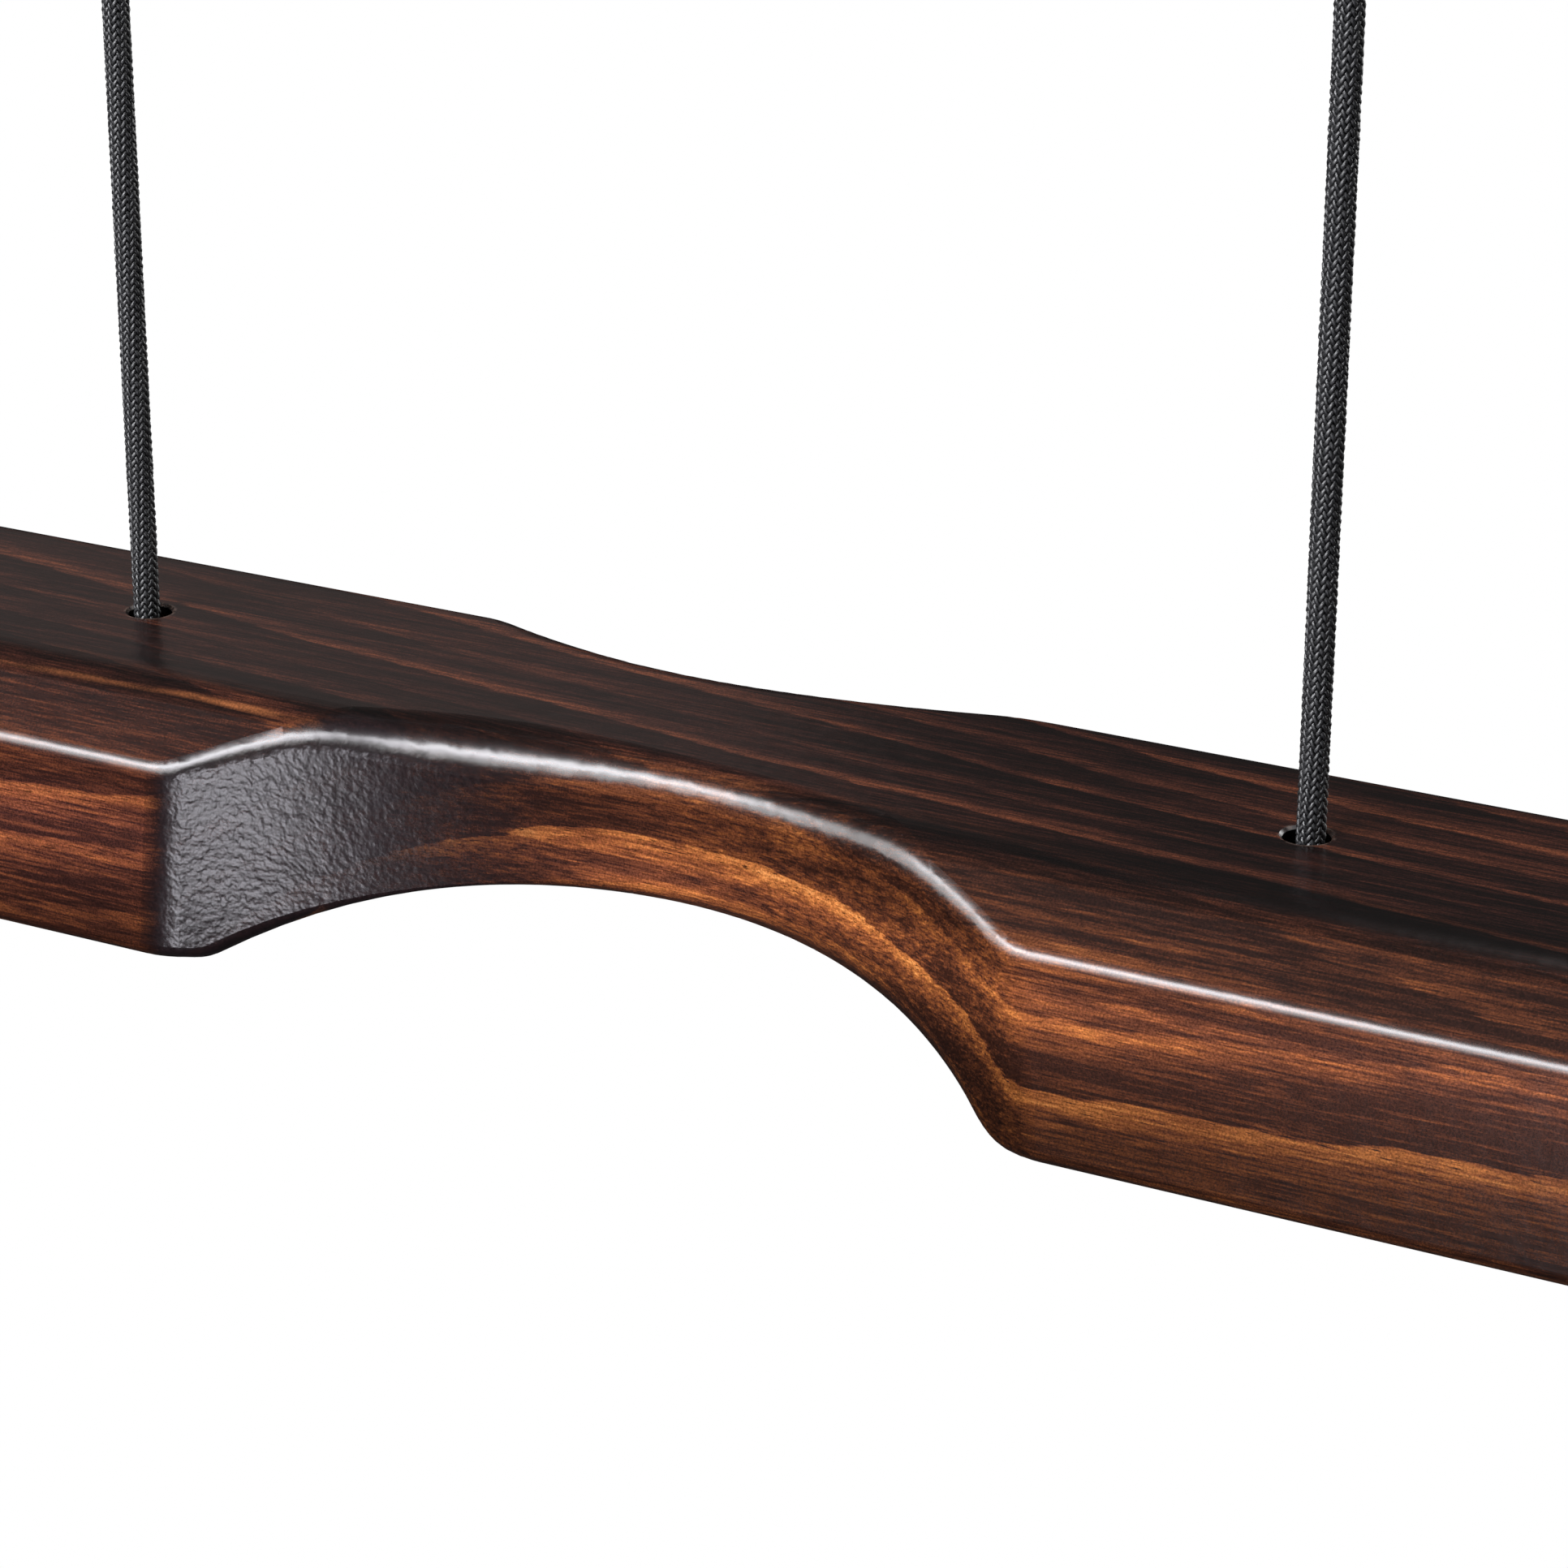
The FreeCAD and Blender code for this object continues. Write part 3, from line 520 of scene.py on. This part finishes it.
def steel_material():
    """Satin stainless steel with faint scratches and handling marks."""
    w = Shader("stainless_steel")
    place = w.coords()
    smear = w.noise(place, scale=180, detail=4, roughness=0.6)
    scratch = w.noise(w.scaled(place, (400, 6000, 500)), detail=2)
    w.set(Base_Color=w.colours(smear, (0.3, (0.36, 0.36, 0.37)), (0.7, (0.50, 0.50, 0.51))),
          Metallic=1.0, Roughness=w.ramp(smear, (0.3, 0.28), (0.75, 0.42)),
          Normal=w.bump(scratch, 0.01 * MM, 0.5))
    return w.material


WOOD, YARN, CORE, TWINE, STEEL = (make() for make in (
    wood_material, yarn_material, core_material, twine_material, steel_material))


# --- cords -----------------------------------------------------------------------------------

def make_cord(name, x, rng):
    """The braided cord, from its knot under the bar up to the eye round the thimble."""
    line = cord_line(name, x)
    cord = add_mesh(f"{name}_braided_cord", braid(line, CORD_RADIUS, rng), (YARN, CORE))
    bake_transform(cord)
    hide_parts(f"{name}_cord_loop", f"{name}_cord", f"{name}_cord_tail")
    knot = make_knot(name, x, rng)
    whipping = make_whipping(name, x)


KNOT_TURNS = 2.1
STEPS_PER_TURN = 8
KNOT_FOOT = -268.4
KNOT_RADIUS = 7.2
KNOT_CORD_RADIUS = 2.35
KNOT_SAMPLES = 12


def make_knot(name, x, rng):
    """Stopper knot: the cord's end wound round itself, drawn tight under the washer."""
    top, foot, radius = CORD_FOOT, KNOT_FOOT, KNOT_CORD_RADIUS
    helix = KNOT_RADIUS - radius
    # The cord comes straight down, then leads out into the first turn.
    controls = [(0, 0, top), (0, 0, top - 3), (helix * 0.5, -helix * 0.4, top - 4.0)]
    steps = int(KNOT_TURNS * STEPS_PER_TURN)
    for i in range(steps + 1):
        angle = 2 * math.pi * i / STEPS_PER_TURN
        level = foot + radius + (top - foot - 2 * radius) * (i / steps)
        controls.append((helix * math.cos(angle), helix * math.sin(angle), level))
    controls = [((a + x) * MM, b * MM, c * MM) for a, b, c in controls]
    line = Line(spline_points(f"{name}_knot_line", controls, KNOT_SAMPLES), (1, 0, 0))
    knot = add_mesh(f"{name}_knot", braid(line, radius * MM, rng), (YARN, CORE))
    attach(knot, "bar")
    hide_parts(f"{name}_stopper_knot")
    return knot


TWINE_RADIUS = 0.36
TWINE_STEPS_PER_TURN, TWINE_SIDES = 40, 8
WHIPPING_HALF_X, WHIPPING_HALF_Y, WHIPPING_FOOT_RADIUS = 3.7, 5.9, 3.3
SLEEVE_INSET, SLEEVE_END_INSET = 0.45, 0.2
SLEEVE_RINGS, SLEEVE_SIDES = 14, 24


def whipping_section(down, inset):
    """Half widths along x and y, from 0 at the whipping's top to 1 at its foot."""
    return (WHIPPING_HALF_X + (WHIPPING_FOOT_RADIUS - WHIPPING_HALF_X) * down - inset,
            WHIPPING_HALF_Y + (WHIPPING_FOOT_RADIUS - WHIPPING_HALF_Y) * down - inset)


def whipping_turns(x):
    """The twine, wound close from top to foot."""
    top, foot, twine = WHIPPING_TOP, WHIPPING_FOOT, TWINE_RADIUS
    turns = (top - foot) / (2 * twine)
    angle = np.linspace(0, 2 * math.pi * turns, int(turns * TWINE_STEPS_PER_TURN))
    level = top - twine - (top - foot - 2 * twine) * angle / angle[-1]
    half_x, half_y = whipping_section((top - level) / (top - foot), twine)
    points = np.stack([x + half_x * np.cos(angle), half_y * np.sin(angle), level], axis=1) * MM
    line = Line(points, (1, 0, 0))
    outward = np.stack([np.cos(angle) / half_x, np.sin(angle) / half_y, 0 * angle], axis=1)
    outward /= np.linalg.norm(outward, axis=1)[:, None]
    across = np.cross(line.tangents, outward)
    return sweep(points, across, outward, twine * MM, twine * MM, TWINE_SIDES, 0)


def whipping_shade_sleeve(x):
    """A near-black sleeve under the twine, painted shade in the gaps between its turns."""
    s = np.linspace(0, 1, SLEEVE_RINGS)
    half_x, half_y = whipping_section(s, SLEEVE_INSET)
    turn = np.arange(SLEEVE_SIDES) * 2 * math.pi / SLEEVE_SIDES
    height = WHIPPING_TOP - WHIPPING_FOOT - 2 * SLEEVE_END_INSET
    level = WHIPPING_TOP - SLEEVE_END_INSET - height * s
    rings = np.stack([x + half_x[:, None] * np.cos(turn), half_y[:, None] * np.sin(turn),
                      np.broadcast_to(level[:, None], (SLEEVE_RINGS, SLEEVE_SIDES))], axis=-1)
    return (rings.reshape(-1, 3) * MM, ring_quads(SLEEVE_RINGS, SLEEVE_SIDES),
            np.zeros((SLEEVE_RINGS * SLEEVE_SIDES, 2)), 1)


def make_whipping(name, x):
    """Twine that binds the throat of the eye down to the single cord."""
    parts = [whipping_turns(x), whipping_shade_sleeve(x)]
    whipping = add_mesh(f"{name}_twine_whipping", parts, (TWINE, CORE))
    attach(whipping, f"{name}_cord_set")
    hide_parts(f"{name}_whipping")
    return whipping


rng = np.random.default_rng(7)
for side_name, side_x in SIDES:
    make_cord(side_name, side_x, rng)

for node_name, node in nodes.items():
    if node.hide_render:
        continue
    node.data.materials.clear()
    node.data.materials.append(WOOD if node_name == "grip_bar" else STEEL)


# --- floor and light -------------------------------------------------------------------------

FLOOR_REACH, FLOOR_LEVEL = 30, -4


def make_floor():
    """A pale floor far below, white to the camera and grey to everything else."""
    mesh = bpy.data.meshes.new("floor")
    corners = ((-1, -1), (1, -1), (1, 1), (-1, 1))
    mesh.from_pydata([(a * FLOOR_REACH, b * FLOOR_REACH, FLOOR_LEVEL) for a, b in corners],
                     [], [(0, 1, 2, 3)])
    w = Shader("pale_floor")
    seen = w.node("ShaderNodeLightPath").outputs["Is Camera Ray"]
    plain = w.node("ShaderNodeEmission", {"Color": (1, 1, 1, 1), "Strength": 1.0})
    both = w.node("ShaderNodeMixShader", {"Fac": seen})
    w.set(Base_Color=(0.12, 0.12, 0.12, 1), Roughness=0.9)
    w.tree.links.new(w.bsdf.outputs[0], both.inputs[1])
    w.tree.links.new(plain.outputs[0], both.inputs[2])
    w.tree.links.new(both.outputs[0], w.tree.nodes["Material Output"].inputs["Surface"])
    mesh.materials.append(w.material)
    floor = bpy.data.objects.new("floor", mesh)
    bpy.context.scene.collection.objects.link(floor)


def make_world():
    """A dim room, brighter overhead, that the camera sees as white."""
    world = bpy.data.worlds.new("studio")
    bpy.context.scene.world = world
    world.use_nodes = True
    tree = world.node_tree
    tree.nodes.clear()
    coords = tree.nodes.new("ShaderNodeTexCoord")
    split = tree.nodes.new("ShaderNodeSeparateXYZ")
    ramp = tree.nodes.new("ShaderNodeMapRange")
    ramp.inputs["To Min"].default_value = 0.02
    ramp.inputs["To Max"].default_value = 0.1
    room = tree.nodes.new("ShaderNodeBackground")
    white = tree.nodes.new("ShaderNodeBackground")
    path = tree.nodes.new("ShaderNodeLightPath")
    both = tree.nodes.new("ShaderNodeMixShader")
    out = tree.nodes.new("ShaderNodeOutputWorld")
    link = tree.links.new
    link(coords.outputs["Generated"], split.inputs[0])
    link(split.outputs[2], ramp.inputs["Value"])
    link(ramp.outputs[0], room.inputs["Strength"])
    link(path.outputs["Is Camera Ray"], both.inputs[0])
    link(room.outputs[0], both.inputs[1])
    link(white.outputs[0], both.inputs[2])
    link(both.outputs[0], out.inputs[0])
    room.inputs["Color"].default_value = (1, 1, 1, 1)
    white.inputs["Color"].default_value = (1, 1, 1, 1)
    white.inputs["Strength"].default_value = 1.0


LIT_POINT = Vector((0, 0, (BAR_TOP - 20) * MM))


def make_light(name, azimuth, elevation, distance, width, height, power, tint=(1, 1, 1)):
    """Soft box that faces the bar; azimuth 0 is in front and positive is to the right."""
    a, e = math.radians(azimuth), math.radians(elevation)
    away = Vector((math.sin(a) * math.cos(e), -math.cos(a) * math.cos(e), math.sin(e)))
    data = bpy.data.lights.new(name, "AREA")
    data.shape = "RECTANGLE"
    data.size, data.size_y, data.energy = width, height, power
    data.color = tint
    light = bpy.data.objects.new(name, data)
    light.location = LIT_POINT + away * distance
    light.rotation_mode = "QUATERNION"
    light.rotation_quaternion = (-away).to_track_quat("-Z", "Y")
    bpy.context.scene.collection.objects.link(light)


make_floor()
make_world()
make_light("key", -25, 33, 1.7, 1.2, 0.42, 31, (0.94, 0.94, 1.0))
make_light("soft_surround", -33, 27, 1.75, 1.7, 0.9, 38, (0.98, 0.99, 1.0))
make_light("low_fill", 7, -17, 1.6, 0.3, 0.6, 8, (0.93, 0.92, 1.0))
make_light("back_fill", 135, 60, 1.9, 1.9, 1.4, 17)
make_light("back_veil", -130, 20, 2.2, 1.7, 1.0, 0.8, (1.0, 0.80, 0.76))
make_light("back_low", 150, 9, 2.0, 1.6, 0.8, 18)
bpy.context.scene.view_settings.view_transform = "Standard"
